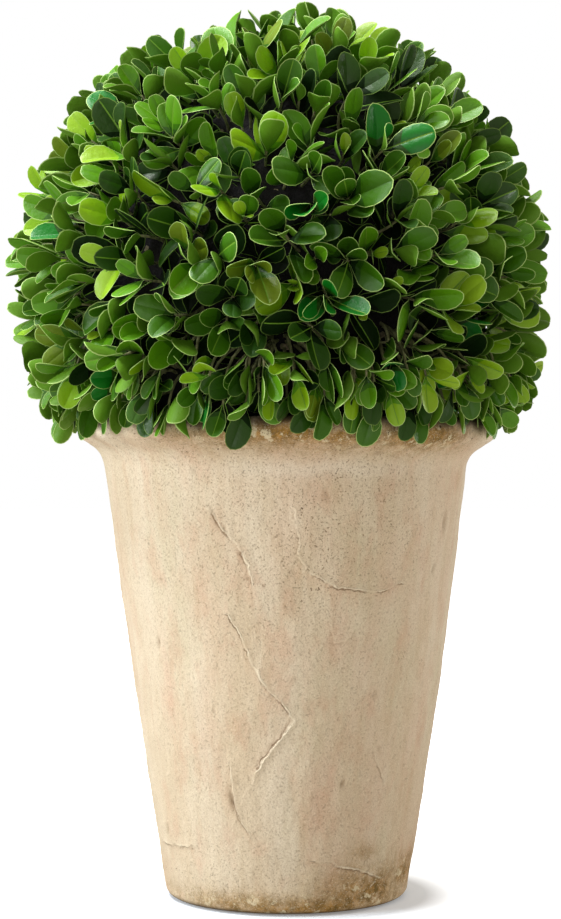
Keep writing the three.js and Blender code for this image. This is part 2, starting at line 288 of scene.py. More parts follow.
def clay_material():
    """Cream clay, unglazed: streaks of pink and grey-green, dark specks, cracks and damp stains, with painted
    highlights and painted shade.
    """
    shader = Shader("worn_clay")
    creams = [(0.32, srgb(219, 202, 174)), (0.46, srgb(227, 213, 188))]
    creams += [(0.56, srgb(232, 220, 197)), (0.70, srgb(222, 211, 184))]
    colour = shader.ramp(shader.noise(30, 4, 0.6, (1, 1, 0.16)), creams)
    # Pink, grey-green, mottle and fine streaks: their noise, its mask, how strong they are, the colour.
    washes = [
        ((24, 5, 0.65, (1, 1, 0.35)), 0.50, 0.66, 0.5, (222, 188, 162)),
        ((19, 5, 0.62, (1, 1, 0.3)), 0.52, 0.70, 0.45, (204, 194, 156)),
        ((95, 4, 0.6, (1, 1, 0.45)), 0.52, 0.68, 0.4, (214, 174, 146)),
        ((130, 4, 0.7, (1, 1, 0.08)), 0.5, 0.66, 0.24, (200, 176, 138)),
    ]
    for pattern, low, high, strength, wash in washes:
        colour = shader.over(colour, shader.mask(shader.noise(*pattern), low, high), strength, *wash)
    # Painted highlight: pale bands where the neck begins, front and back, and on the rim's sides.
    colour = shader.over(colour, shader.attribute("pale"), 0.6, 246, 238, 220)
    sand = shader.mask(shader.noise(1900, 3, 0.75), 0.42, 0.60)
    colour = shader.over(colour, sand, 0.28, 172, 146, 112)
    colour = shader.over(colour, shader.attribute("flake"), 0.45, 216, 176, 148)
    # Stains: orange-brown, darker and greener in spots, with pale chips.
    damp = shader.attribute("stain")
    stain = shader.maths("MULTIPLY", damp, shader.mask(shader.noise(110, 7, 0.85), 0.26, 0.54))
    colour = shader.mix(stain, colour, srgb(178, 134, 62))
    dark = shader.mask(shader.noise(230, 6, 0.8), 0.40, 0.60)
    colour = shader.over(colour, stain, dark, 106, 88, 44)
    chips = shader.mask(shader.noise(210, 4, 0.65), 0.57, 0.63)
    colour = shader.over(colour, damp, chips, 226, 214, 180)
    # Pale grains, dark specks and blots, and painted shade.
    grains = shader.mask(shader.noise(1500, 3, 0.7), 0.57, 0.64)
    colour = shader.over(colour, grains, 0.5, 240, 228, 204)
    specks = shader.mask(shader.noise(1250, 5, 0.72), 0.575, 0.64)
    speckle = shader.attribute("speckle")
    colour = shader.over(colour, specks, speckle, 146, 120, 90)
    blots = shader.mask(shader.noise(420, 3, 0.6), 0.69, 0.72)
    colour = shader.over(colour, blots, speckle, 92, 70, 44)
    # Painted shade: dark brown on the lip under the leaves and right at the floor.
    colour = shader.over(colour, shader.attribute("painted_shade"), 0.85, 52, 40, 24)
    # Cracks and flake edges: a thin dark line of painted shade that fades in places, with a painted highlight
    # on the lip of the raised side.
    edge = shader.attribute("edge")
    unevenness = shader.maths("MULTIPLY", shader.maths("SUBTRACT", shader.noise(700, 3, 0.6), 0.5), 1.4)
    fault = shader.maths("ADD", shader.attribute("fault"), unevenness)
    line = shader.mask(shader.maths("ABSOLUTE", fault, 0), 0.42, 0.12)
    lip = shader.mask(shader.maths("ABSOLUTE", shader.maths("SUBTRACT", fault, 0.8), 0), 0.55, 0.15)
    lip = shader.maths("MULTIPLY", lip, shader.maths("MULTIPLY", edge, 0.85))
    colour = shader.mix(lip, colour, srgb(246, 234, 208))
    line = shader.maths("MULTIPLY", line, shader.maths("MULTIPLY", edge, 0.7))
    colour = shader.mix(line, colour, srgb(128, 98, 68))
    # Painted shade in the pits and gouges.
    colour = shader.over(colour, shader.attribute("pit_shade"), 0.7, 118, 88, 58)
    relief = shader.bump(shader.noise(1500, 4, 0.8), 0.0004, 0.6)
    relief = shader.bump(shader.noise(420, 4, 0.6, (1, 1, 0.4)), 0.0006, 0.35, relief)
    relief = shader.bump(shader.noise(120, 4, 0.6), 0.0012, 0.35, relief)
    relief = shader.bump(shader.maths("MULTIPLY", specks, -1), 0.0004, 0.6, relief)
    relief = shader.bump(shader.maths("SUBTRACT", lip, line), 0.0005, 0.8, relief)
    return shader.finish(colour, 0.93, relief, Specular_IOR_Level=0.2)


def rough_material(name, pattern, stops, roughness, depth, strength):
    """A surface that one noise both colours and raises."""
    shader = Shader(name)
    grain = shader.noise(*pattern)
    colour = shader.ramp(grain, [(at, srgb(*tint)) for at, tint in stops])
    return shader.finish(colour, roughness, shader.bump(grain, depth, strength))


def bark_material(name, dark, light, scale):
    stops = [(0.32, dark), (0.68, light)]
    return rough_material(name, (scale, 4, 0.65, (1, 1, 0.3)), stops, 0.85, 0.0006, 0.6)


def leaf_material(name, colour, roughness, specular):
    """A leathery leaf surface: one plain base colour, with a finely uneven gloss."""
    shader = Shader(name)
    veins = shader.noise(420, 4, 0.6)
    low, high = roughness - GLOSS_SPREAD, roughness + GLOSS_SPREAD
    gloss = shader.ramp(veins, [(0.3, [low, low, low, 1]), (0.7, [high, high, high, 1])])
    normal = shader.bump(veins, 0.0005, 0.55)
    return shader.finish(srgb(*colour), gloss, normal, Specular_IOR_Level=specular)


# ---- Pot ----


def curve(start, control, end, steps=12):
    share = np.linspace(0, 1, steps + 1)[:, None]
    start, control, end = (np.array(p, dtype=float) for p in (start, control, end))
    return (1 - share) ** 2 * start + 2 * share * (1 - share) * control + share**2 * end


def wall_radius(height):
    share = height / NECK_HEIGHT
    return BASE_RADIUS + (NECK_RADIUS - BASE_RADIUS) * share + 4 * WALL_BELLY * share * (1 - share)


def outside_profile():
    """The pot's outside as points of radius and height, from the edge of its underside to its lip."""
    wall = np.linspace(FOOT_ROUNDING, NECK_HEIGHT - NECK_ROUNDING, 40)
    wall = np.stack([wall_radius(wall), wall], axis=1)
    neck = np.array([NECK_RADIUS, NECK_HEIGHT])
    edge = np.array([RIM_RADIUS, POT_HEIGHT - RIM_FACE])
    top = np.array([RIM_RADIUS, POT_HEIGHT])
    slope = unit(edge - neck)
    lip = top - [LIP_ROUNDING, 0]
    mouth = top - [RIM_WIDTH, 0]
    pieces = [
        curve((BASE_RADIUS - FOOT_ROUNDING, 0), (BASE_RADIUS, 0), wall[0])[:-1],
        wall[:-1],
        curve(wall[-1], neck, neck + NECK_ROUNDING * slope),
        curve(edge - RIM_ROUNDING * slope, edge, edge + [0, RIM_ROUNDING]),
        curve(top - [0, LIP_ROUNDING], top, lip)[:-1],
        curve(lip, mouth, mouth + MOUTH_SLOPE),
    ]
    return np.concatenate(pieces)


def evenly(profile, spacing):
    """The same profile with points at an even spacing."""
    steps = np.linalg.norm(np.diff(profile, axis=0), axis=1)
    along = np.concatenate([[0], np.cumsum(steps)])
    wanted = np.linspace(0, along[-1], int(along[-1] / spacing) + 1)
    return np.stack([np.interp(wanted, along, profile[:, k]) for k in (0, 1)], axis=1)


# Marks in the clay, each as (degrees round the pot from its front, height): hairline cracks and the
# edges of flakes. The layer to the right of each line, as it runs, is the raised one.
LONG_CRACK = [(-11.5, 61), (-10, 64.5), (-3, 73), (2, 81), (0.5, 84), (-6.5, 93), (-11.5, 102.5)]
LONG_CRACK += [(-15, 113), (-20, 122.5)]
LOW_CRACK = [(-16, 34), (-19.5, 40), (-21.5, 45), (-22.5, 50.5), (-22.5, 61.5)]
LEFT_FLAKE = [(-12, 137), (-14, 146.5), (-20.5, 157), (-25, 166)]
ROUND_FLAKE = [(39, 135), (35, 133.5), (27, 132), (16.5, 134.5), (8, 140)]
ROUND_FLAKE_SIDE = [(8, 140), (3.5, 146.5), (3, 157), (1.5, 166.5)]
SMALL_FLAKE = [(30, 130), (27, 120), (21, 112.5), (16, 111.5), (14, 120)]
FOOT_LINE = [(-46, 26), (-58, 24.5), (-70, 24.5)]
FOOT_FLAKE = [(44, 13), (37, 15.7), (22, 20), (12, 22.8)]
FOOT_CHIP = [(51, 14.6), (46, 12.2), (41, 10.2)]
SIDE_NICK = [(39.5, 55), (38, 59), (34.5, 66)]
# Each with how strong it is.
FRONT_MARKS = [(LONG_CRACK, 1.0), (LOW_CRACK, 0.7), (LEFT_FLAKE, 0.8), (ROUND_FLAKE, 0.95)]
FRONT_MARKS += [(ROUND_FLAKE_SIDE, 0.3), (SMALL_FLAKE, 0.25), (FOOT_LINE, 0.6), (FOOT_FLAKE, 1.0)]
FRONT_MARKS += [(FOOT_CHIP, 0.9), (SIDE_NICK, 0.5)]
# The back wears the same kinds of mark, turned round the pot, shifted up or down, and some mirrored.
BACK_MARKS = [
    (LONG_CRACK, 128, -18, 1),
    (ROUND_FLAKE, 96, -22, 1),
    (ROUND_FLAKE_SIDE, 96, -22, 1),
    (LEFT_FLAKE, 262, -12, -1),
    (LONG_CRACK, 222, 24, -1),
    (LOW_CRACK, 176, 26, 1),
    (SMALL_FLAKE, 292, -60, -1),
    (FOOT_FLAKE, 148, 4, 1),
    (FOOT_LINE, 285, 8, 1),
]
# Gouges and pits: degrees, height, half width, half height, lean and depth.
PITS = [
    (-22.8, 163, 0.9, 3.6, 0.35, 0.9),
    (-19.3, 157, 0.7, 2.0, 0.3, 0.7),
    (-14.2, 148, 0.7, 1.8, 0.1, 0.7),
    (-12.6, 138.3, 1.2, 1.0, 0.2, 0.6),
    (-22, 47, 1.1, 4.2, 0.15, 1.0),
    (-19.5, 40.5, 0.8, 2.4, 0.3, 0.8),
    (22, 54.5, 0.9, 1.5, -0.2, 0.8),
    (-45.5, 137, 0.8, 0.8, 0.0, 0.6),
    (-50.5, 110.5, 0.8, 2.2, 0.0, 0.9),
    (-62, 31.5, 1.2, 2.4, 0.0, 0.7),
    (60, 160, 1.2, 5.0, 0.1, 0.7),
    (56, 141, 1.0, 2.2, -0.2, 0.6),
    (12, 172, 1.0, 2.2, 0.3, 0.5),
    (13.5, 189, 0.8, 0.6, 0.0, 0.6),
    (17.8, 188.7, 1.0, 0.5, 0.0, 0.6),
    (26.5, 188.9, 2.0, 0.7, 0.1, 0.8),
]
SMALL_PITS = 60  # more, scattered all round
# Damp stains on the rim, round the foot and on the back: degrees, height, half width in degrees, half
# height and strength.
STAINS = [(38, 196, 20, 7, 1.0), (4, 196.5, 36, 6.5, 1.0), (64, 200, 14, 4, 0.5), (-66, 201, 20, 3, 0.4)]
STAINS += [(38, 7, 24, 11, 1.0), (70, 13, 16, 8, 1.0), (35, 25, 8, 4, 0.45), (-16, 3, 44, 6, 0.8)]
STAINS += [(12, 2, 64, 6, 1.0), (170, 195, 30, 6, 0.7), (215, 7, 40, 9, 0.7), (110, 4, 30, 7, 0.6)]
STAINS += [(250, 200, 26, 5, 0.6)]

BACK_STRENGTH = 0.8
FAR = 5.0  # millimetres from a line to which its distance is kept
SHOWN = 2.5  # and within which it shows


def line_field(across, height, line):
    """For points of the unrolled wall: the distance to a line, and on which side of it they are."""
    corners = np.array([(math.radians(turn) * wall_radius(z), z) for turn, z in line])
    nearest = np.full(len(across), 1e9)
    side = np.zeros(len(across))
    for start, end in zip(corners[:-1], corners[1:]):
        along = end - start
        length = np.linalg.norm(along)
        x = across - start[0]
        z = height - start[1]
        share = np.clip((x * along[0] + z * along[1]) / length**2, 0, 1)
        distance = np.hypot(x - share * along[0], z - share * along[1])
        right = np.sign(along[1] * x - along[0] * z)
        side = np.where(distance < nearest, right, side)
        nearest = np.minimum(distance, nearest)
    return nearest, side


def marked(turn, height, ragged, worn, broken):
    """What the marks do at degrees and heights: how far they raise the clay, how dark the painted shade in
    pits is, how pink beside flakes, the signed distance to the nearest line, and how strongly the line's
    painted shade and its lip's painted highlight show."""
    rise = np.zeros(len(turn))
    pit_shade = np.zeros(len(turn))
    flake = np.zeros(len(turn))
    fault = np.full(len(turn), FAR)
    edge = np.zeros(len(turn))
    marks = list(FRONT_MARKS)
    for line, shift, lift, way in BACK_MARKS:
        marks.append(([(shift + way * angle, z + lift) for angle, z in line], BACK_STRENGTH))
    for line, strength in marks:
        middle = sum(angle for angle, _ in line) / len(line)
        across = np.radians(apart(turn, middle) + middle) * wall_radius(height)
        near, side = line_field(across + ragged[0], height + ragged[1], line)
        groove = hump(near, 0, 0.5)
        lip = hump(near, 1.1, 0.8) * (side > 0)
        layer = np.exp(-near / 7) * (side > 0)
        rise += strength * (-0.35 * groove * worn + 0.25 * lip + 0.5 * layer)
        closer = near < np.abs(fault)
        fault = np.where(closer, near * side, fault)
        edge = np.where(closer, strength * broken * smooth_step(SHOWN, 0.6 * SHOWN, near), edge)
        flake = np.maximum(flake, 0.5 * strength * np.exp(-near / 2.5) * (side < 0))
    pits = list(PITS)
    for _ in range(SMALL_PITS):
        size = rng.uniform(0.35, 0.8)
        spot = (rng.uniform(-180, 180), rng.uniform(8, 185), size, size * rng.uniform(0.8, 2.5))
        pits.append((*spot, rng.uniform(-0.4, 0.4), rng.uniform(0.25, 0.55)))
    for angle, z, wide, tall, lean, depth in pits:
        across = np.radians(apart(turn, angle)) * wall_radius(z) + lean * (height - z)
        near = (across / wide) ** 2 + ((height - z) / tall) ** 2
        hollow = np.exp(-near)
        rise -= depth * hollow
        rise += 0.25 * depth * np.exp(-(((across - 2.1 * wide) / wide) ** 2) - ((height - z) / tall) ** 2)
        pit_shade = np.maximum(pit_shade, 0.75 * depth * hollow)
    return rise, pit_shade, flake, fault, edge


def stains_specks_and_painted_light(turn, place, uneven):
    """Where the clay is stained and speckled, and where light and shade are painted on it: pale painted
    highlights and dark painted shade.
    """
    level = place[:, 2]
    stain = np.zeros(len(turn))
    for angle, z, wide, tall, strength in STAINS:
        off = apart(turn, angle)
        stain = np.maximum(stain, strength * np.exp(-((off / wide) ** 2) - ((level - z) / tall) ** 2))
    patch = 0.5 + 0.5 * fractal(place + 2300, 40, 3)
    upper = smooth_step(105, 165, level) * hump(turn, 8, 34)
    foot = np.exp(-level / 14)
    back = smooth_step(95, 150, np.abs(turn)) * smooth_step(0.45, 0.75, patch) * 0.8
    rim = smooth_step(186, 191, level)
    speckle = 0.15 + 0.2 * patch + 0.9 * upper * (0.4 + patch) + 0.6 * foot + 0.6 * rim + back
    # Painted highlight: pale where the neck begins, on the front and on the back, and on the rim except at
    # its middle.
    pale = hump(level - 182.5 + 1.5 * uneven, 0, 3.2) * (hump(turn, 12, 30) + hump(np.abs(turn), 160, 25))
    pale = np.maximum(pale, 0.8 * smooth_step(189, 195, level) * smooth_step(34, 58, np.abs(turn)))
    # Painted shade: dark on the lip where the leaves hang over it, and right at the floor.
    painted_shade = np.maximum(smooth_step(197.5, 201.5, level + 1.6 * uneven), smooth_step(2.2, 0.5, level))
    return {"stain": stain, "speckle": np.clip(speckle, 0, 1), "pale": pale, "painted_shade": painted_shade}


def make_pot():
    """The pot's finely divided outside with all its wear and its painted light and shade, and the last ring
    of it, at the mouth.
    """
    profile = evenly(outside_profile(), ROW_SPACING)
    tangent = np.gradient(profile, axis=0)
    tangent /= np.linalg.norm(tangent, axis=1)[:, None]
    outward = np.stack([tangent[:, 1], -tangent[:, 0]], axis=1)
    fine = np.linspace(-180, 180, 2001)
    density = 1 + FRONT_DENSITY * np.exp(-(((fine - FRONT_MIDDLE) / FRONT_HALF_WIDTH) ** 4))
    running = np.concatenate([[0], np.cumsum((density[1:] + density[:-1]) / 2)])
    turns = np.interp(np.arange(POT_COLUMNS) / POT_COLUMNS * running[-1], running, fine)
    rows = len(profile)
    turn = np.tile(turns, rows)
    radius, height = (np.repeat(profile[:, k], POT_COLUMNS) for k in (0, 1))
    across, lift = (np.repeat(outward[:, k], POT_COLUMNS) for k in (0, 1))
    round_angle = np.radians(turn)
    place = from_front(radius, round_angle, height)
    broad = fractal(place, 34, 2)
    middle = fractal(place * [1, 1, 0.55] + 500, 9, 3)
    small = fractal(place + 900, 2.6, 2)
    ragged = [0.9 * fractal(place + k, 8, 3) + 0.3 * fractal(place + k, 2.6, 2) for k in (1300, 1700)]
    worn = 0.3 + 0.7 * smooth_step(-0.4, 0.3, fractal(place + 2900, 11, 2))
    broken = 0.12 + 0.88 * smooth_step(-0.3, 0.35, fractal(place + 3300, 6, 3))
    rise, pit_shade, flake, fault, edge = marked(turn, height, ragged, worn, broken)
    hand_made = 0.45 * np.sin(2 * round_angle + 0.6) + 0.25 * np.sin(3 * round_angle + 2 + height / 50)
    wear = rise + 0.4 * broad + 0.28 * middle + 0.06 * small + hand_made
    # The neck flares more gently on the left, and the rim is a little uneven.
    left = np.abs(turn) < 150
    wear += 0.7 * hump(height, 187, 6) * smooth_step(20, 90, -turn) * left
    wear += 0.5 * smooth_step(190, 203, height) * np.sin(5 * round_angle + 1)
    neck_lift = 1.8 * hump(height, 189, 7) * smooth_step(10, 80, -turn) * left
    free = smooth_step(0.3, 5, height)
    radius = radius + across * wear * np.maximum(free, 0.25)
    height = height + lift * wear * free + neck_lift
    outside = from_front(radius, round_angle, height)
    underside = fan(np.arange(POT_COLUMNS), len(outside))
    triangles = np.concatenate([grid_triangles(rows, POT_COLUMNS), underside])
    attributes = {"pit_shade": pit_shade, "flake": flake, "fault": fault, "edge": edge}
    attributes.update(stains_specks_and_painted_light(turn, place, middle))
    attributes = {key: np.append(values, 0.0) for key, values in attributes.items()}
    points = np.concatenate([outside, [[0, 0, 0]]])
    pot = new_piece("clay_pot_outside", points, triangles, [clay_material()], None, attributes)
    return pot, outside[-POT_COLUMNS:]


def make_pot_inside(lip):
    """The pot's inner wall and floor, from the outside's last ring down."""
    columns = len(lip)
    angle = np.arctan2(lip[:, 1], lip[:, 0])
    rings = [lip]
    for z in np.linspace(NECK_HEIGHT - NECK_ROUNDING, FLOOR_THICKNESS, 10):
        radius = wall_radius(z) - WALL_THICKNESS
        if len(rings) == 1:
            radius = (1 - MOUTH_SHARE) * radius + MOUTH_SHARE * np.hypot(lip[:, 0], lip[:, 1])
        rings.append(upright(radius, angle, np.full(columns, z)))
    points = np.concatenate([*rings, [[0, 0, FLOOR_THICKNESS]]])
    floor = fan(np.arange(columns) + (len(rings) - 1) * columns, len(points) - 1)
    triangles = np.concatenate([grid_triangles(len(rings), columns), floor])
    return new_piece("clay_pot_inside", points, triangles, [bpy.data.materials["worn_clay"]])


# ---- Soil and stem ----


def make_soil():
    """Crumbly compost, filled to below the rim."""
    columns = 120
    hub = 1.5
    floor = FLOOR_THICKNESS + 0.3
    edge = SOIL_LEVEL - SOIL_FALL
    side = [(wall_radius(z) - WALL_THICKNESS - SOIL_GAP, z) for z in np.linspace(floor, edge, 8)]
    reach = side[-1][0]
    top = [(r, SOIL_LEVEL - SOIL_FALL * (r / reach) ** 2) for r in np.linspace(reach, hub, 36)[1:]]
    profile = np.array([(hub, floor), *side, *top])
    angle = np.linspace(0, 2 * math.pi, columns, endpoint=False)
    radius, height = (np.repeat(profile[:, k], columns) for k in (0, 1))
    angle = np.tile(angle, len(profile))
    points = upright(radius, angle, height)
    crumbs = 1.1 * fractal(points, 5, 3) + 0.8 * fractal(points + 70, 16, 2)
    on_top = smooth_step(edge - 4, edge, height) * smooth_step(16, 20, radius)
    points[:, 2] += np.minimum(crumbs, CRUMB_TOP) * on_top
    ends = np.array([[0, 0, floor], [0, 0, SOIL_LEVEL]])
    triangles = closed_triangles(len(profile), columns, len(points))
    browns = [(0.3, (28, 20, 14)), (0.55, (62, 46, 32)), (0.8, (98, 78, 56))]
    compost = rough_material("potting_compost", (420, 5, 0.7), browns, 0.97, 0.002, 0.8)
    return new_piece("compost", np.concatenate([points, ends]), triangles, [compost])


def stem_axis(height):
    """The middle of the stem at a height."""
    return np.array([-STEM_LEAN * (height - STEM_FOOT), 0.0, height])


def make_stem():
    """The short stem, with ridged bark and a root flare."""
    rows, columns = 64, 72
    height = np.repeat(np.linspace(STEM_FOOT, STEM_TIP, rows), columns)
    angle = np.tile(np.linspace(0, 2 * math.pi, columns, endpoint=False), rows)
    rise = height - STEM_FOOT
    share = rise / (STEM_TIP - STEM_FOOT)
    ridges = 0.6 + 0.4 * np.cos(ROOT_COUNT * angle)
    radius = STEM_FOOT_RADIUS + (STEM_TIP_RADIUS - STEM_FOOT_RADIUS) * share
    radius = radius + ROOT_FLARE * ridges * np.exp(-rise / ROOT_FLARE_HEIGHT)
    grain = fractal(upright(radius, angle, height) * [1, 1, 0.3], 2.4, 3)
    points = upright(radius + BARK_RELIEF * grain - BARK_DEPTH, angle, height)
    points[:, 0] -= STEM_LEAN * rise
    ends = np.array([stem_axis(STEM_FOOT), stem_axis(STEM_TIP)])
    triangles = closed_triangles(rows, columns, len(points))
    bark = bark_material("stem_bark", (74, 62, 44), (158, 142, 112), 160)
    return new_piece("stem_with_bark", np.concatenate([points, ends]), triangles, [bark])


# ---- Boughs, twigs and shoots ----

TWIG_COUNT = 50  # evenly over the ball, as in the part's source
SHOOT_COUNT = 600
SHOOT_TOPS = (93.5, 104.0)
SHOOT_LEAN = 0.30
# Shoots that hang out over the pot's rim in three rows, all round: how many, and the radius and height
# of their ends.
FRINGE_ROWS = [(68, 92.0, 209.5), (62, 93.5, 214.5), (54, 97.5, 220.5)]
FRINGE_REACH = 121.0  # of their leaves from the ball's centre
LOWEST_SHOOT = -0.66  # shoots that point further down would stand inside the pot
BOUGH_COUNT = 13
BOUGH_REACH = 56.0
TWIG_REACH = 84.0
# Radii at the two ends of each.
BOUGH_RADII = (3.6, 2.2)
TWIG_RADII = (2.1, 1.3)
SHOOT_RADII = (0.95, 0.5)


def even_directions(count, tilt):
    """Directions spread evenly over a ball and then tilted a little."""
    k = np.arange(count)
    height = 1 - 2 * (k + 0.5) / count
    level = np.sqrt(1 - height**2)
    turn = k * GOLDEN_ANGLE
    directions = unit(upright(level, turn, height) + tilt * rng.uniform(-1, 1, (count, 3)))
    return directions[directions[:, 2] > LOWEST_SHOOT]


def nearest(directions, others):
    """For each direction, which of the others is nearest."""
    return np.argmax(directions @ others.T, axis=1)


def tube(path, end_radii, sides):
    """A tapering tube along a path, closed at both ends."""
    radii = np.linspace(*end_radii, len(path))
    along = unit(np.gradient(path, axis=0))
    helper = np.array([0.3, 0.2, 1.0]) if abs(along[0][2]) < 0.8 else np.array([1.0, 0.3, 0.1])
    first = unit(np.cross(along, helper))
    second = np.cross(along, first)
    angle = np.linspace(0, 2 * math.pi, sides, endpoint=False)
    rings = [
        middle + radius * (np.outer(np.cos(angle), a) + np.outer(np.sin(angle), b))
        for middle, radius, a, b in zip(path, radii, first, second)
    ]
    points = np.concatenate([*rings, path[:1], path[-1:]])
    return points, closed_triangles(len(path), sides, len(points) - 2)


def clears_pot(points):
    """Whether points keep clear of the pot, and of the space straight below its rim."""
    radius = np.hypot(points[..., 0], points[..., 1])
    height = points[..., 2]
    underside = (RIM_RADIUS - NECK_RADIUS) * (height - NECK_HEIGHT) / (POT_HEIGHT - RIM_FACE - NECK_HEIGHT)
    limit = NECK_RADIUS + np.clip(underside, 0, RIM_RADIUS - NECK_RADIUS) + 1.2
    return (height > POT_HEIGHT + 0.9) | (radius > limit)


def grow_limbs():
    """Boughs from the stem's tip, twigs from the boughs, and shoots from the twigs, each a tube."""
    boughs = even_directions(BOUGH_COUNT, 0.1)
    twigs = even_directions(TWIG_COUNT, 0.1)
    shoots = even_directions(SHOOT_COUNT, 0.05)
    bough_of = nearest(twigs, boughs)
    limbs = []
    origin = stem_axis(STEM_TIP - 4)
    for direction in boughs:
        end = BALL_CENTRE + BOUGH_REACH * direction
        path = curve(origin, origin + 26 * unit(direction + [0, 0, 0.5]), end, 8)
        limbs.append(tube(path, BOUGH_RADII, 8))
    for direction, parent in zip(twigs, bough_of):
        start = BALL_CENTRE + BOUGH_REACH * boughs[parent]
        end = BALL_CENTRE + TWIG_REACH * direction
        path = curve(start, (start + end) / 2 + 6 * direction, end, 6)
        limbs.append(tube(path, TWIG_RADII, 6))
    starts = [(BALL_CENTRE + rng.uniform(*SHOOT_TOPS) * direction, direction, False) for direction in shoots]
    for count, radius, height in FRINGE_ROWS:
        for k in range(count):
            turn = 2 * math.pi * (k + rng.uniform(-0.3, 0.3)) / count
            level = np.array([math.cos(turn), math.sin(turn), 0.0])
            end = (radius + rng.uniform(-1, 2)) * level + [0, 0, height + rng.uniform(-2.5, 4)]
            starts.append((end, unit(rng.uniform(0.15, 0.4) * level - [0, 0, 0.95]), True))
    fine = []
    tips = []
    for end, growth, hanging in starts:
        nearest_twig = twigs[nearest(unit(end - BALL_CENTRE)[None], twigs)[0]]
        lean = unit(growth + (0.1 if hanging else SHOOT_LEAN) * rng.uniform(-1, 1, 3))
        path = curve(BALL_CENTRE + (TWIG_REACH - 8) * nearest_twig, end - 22 * lean, end, 7)
        if not clears_pot(path[-3:]).all():
            continue
        fine.append(tube(path, SHOOT_RADII, 5))
        tips.append((end, unit(end - path[-2]), hanging))
    return limbs, fine, tips


# ---- Leaves ----

LEAF_LENGTH = 21.6
LEAF_WIDTH = 12.6
MARGIN_WIDTH = 0.28
RIB_WIDTH = 0.27
LEAF_THICKNESS = 0.34
LEAF_WIDEST = 0.61
LEAF_SHARES = np.array([0.0, 0.12, 0.3, 0.48, 0.66, 0.81, 0.92, 0.975])
LOW_COLUMNS = [0, 1, 2, 4, 6, 7, 8]  # of the upper side's nine, that its underside has too
VEIN_SLANT = 0.5  # how much further up its middle each row of points lies at the leaf's edge, for its width
BLADE, MARGIN, UNDERSIDE, RIB, DARKER, DARK, DARKEST = range(7)
# Painted shade: the blade's first rows from the root take darker tints.
ROOT_SHADE_ROWS = [DARKEST, DARK, DARKER]  # what the blade has in its first rows from the root


def half_width(share):
    """The leaf's half width along its length: a wedge below, round above."""
    below = np.sin(0.5 * math.pi * np.clip(share / LEAF_WIDEST, 0, 1)) ** 1.2
    above = np.sqrt(1 - np.clip((share - LEAF_WIDEST) / (1 - LEAF_WIDEST), 0, 1) ** 2.3)
    return 0.5 * LEAF_WIDTH * np.maximum(0.06, below * above)


def leaf_form(cup, fold, curl, twist, narrow, notch, ribbed):
    """One leaf along +Y from its root, upper side to +Z: points, triangles, and a surface for each."""
    y = LEAF_SHARES * LEAF_LENGTH
    x = half_width(LEAF_SHARES) * narrow
    slope = np.gradient(x, y)
    normal = np.stack([np.ones_like(slope), -slope], axis=1)
    normal /= np.linalg.norm(normal, axis=1)[:, None]
    inner_x = np.maximum(x - MARGIN_WIDTH * normal[:, 0], 0.55 * x)
    inner_y = y - MARGIN_WIDTH * normal[:, 1]
    rib = np.minimum(RIB_WIDTH, 0.3 * inner_x)
    middle_y = inner_y - VEIN_SLANT * inner_x
    between = 0.55 * inner_x
    half = [(x, y, -0.12), (inner_x, inner_y, 0.0), (between, middle_y + VEIN_SLANT * between, 0.0)]
    half.append((rib, middle_y, 0.05))
    centre = (np.zeros_like(x), middle_y, -0.16)
    columns = [(-a, b, c) for a, b, c in half] + [centre] + [(a, b, c) for a, b, c in reversed(half)]
    upper = np.stack([np.stack([a, b, np.full_like(a, c)], axis=1) for a, b, c in columns], axis=1)
    rows, wide = upper.shape[:2]
    tip = np.array([[0, LEAF_LENGTH * (1 - notch), -0.12]])
    inner_tip = np.array([[0, LEAF_LENGTH * (1 - notch) - MARGIN_WIDTH, 0.0]])
    lower = upper[:, LOW_COLUMNS].copy()
    lower[:, 1:-1, 2] -= LEAF_THICKNESS
    lower[:, LOW_COLUMNS.index(4), 2] -= 0.1
    low_tip = inner_tip - [[0, 0, LEAF_THICKNESS]]
    points = np.concatenate([upper.reshape(-1, 3), tip, inner_tip, lower.reshape(-1, 3), tip, low_tip])
    faces = []
    surfaces = []

    def sheet(first, width, flip, kinds):
        """A surface of rows of points with a tip, first its outer and then its inner tip point."""
        before = len(faces)
        outer_tip = first + rows * width
        for r in range(rows - 1):
            for c in range(width - 1):
                a = first + r * width + c
                faces.extend([(a, a + 1, a + 1 + width), (a, a + 1 + width, a + width)])
                shaded = r < len(ROOT_SHADE_ROWS) and kinds[c] == BLADE
                surfaces.extend([ROOT_SHADE_ROWS[r] if shaded else kinds[c]] * 2)
        top = first + (rows - 1) * width
        for c in range(1, width - 2):
            faces.append((top + c, top + c + 1, outer_tip + 1))
            surfaces.append(kinds[c])
        ends = [(top, top + 1, outer_tip + 1), (top, outer_tip + 1, outer_tip)]
        ends += [(top + width - 2, top + width - 1, outer_tip), (top + width - 2, outer_tip, outer_tip + 1)]
        faces.extend(ends)
        surfaces.extend([kinds[0]] * 4)
        if flip:
            faces[before:] = [(a, c, b) for a, b, c in faces[before:]]

    middle = RIB if ribbed else BLADE
    sheet(0, wide, False, [MARGIN, BLADE, BLADE, middle, middle, BLADE, BLADE, MARGIN])
    sheet(rows * wide + 2, len(LOW_COLUMNS), True, [MARGIN, *[UNDERSIDE] * 4, MARGIN])
    share = np.clip(points[:, 1] / LEAF_LENGTH, 0, 1)
    spread = points[:, 0] / (0.5 * LEAF_WIDTH)
    opened = smooth_step(0.05, 0.4, share)
    points[:, 2] += (cup * spread**2 + fold * np.abs(spread)) * opened + curl * LEAF_LENGTH * share**2.2
    cos, sin = np.cos(twist * share), np.sin(twist * share)
    x, y, z = points.T
    twisted = np.stack([x * cos - z * sin, y, x * sin + z * cos], axis=1)
    return twisted, np.array(faces), np.array(surfaces)


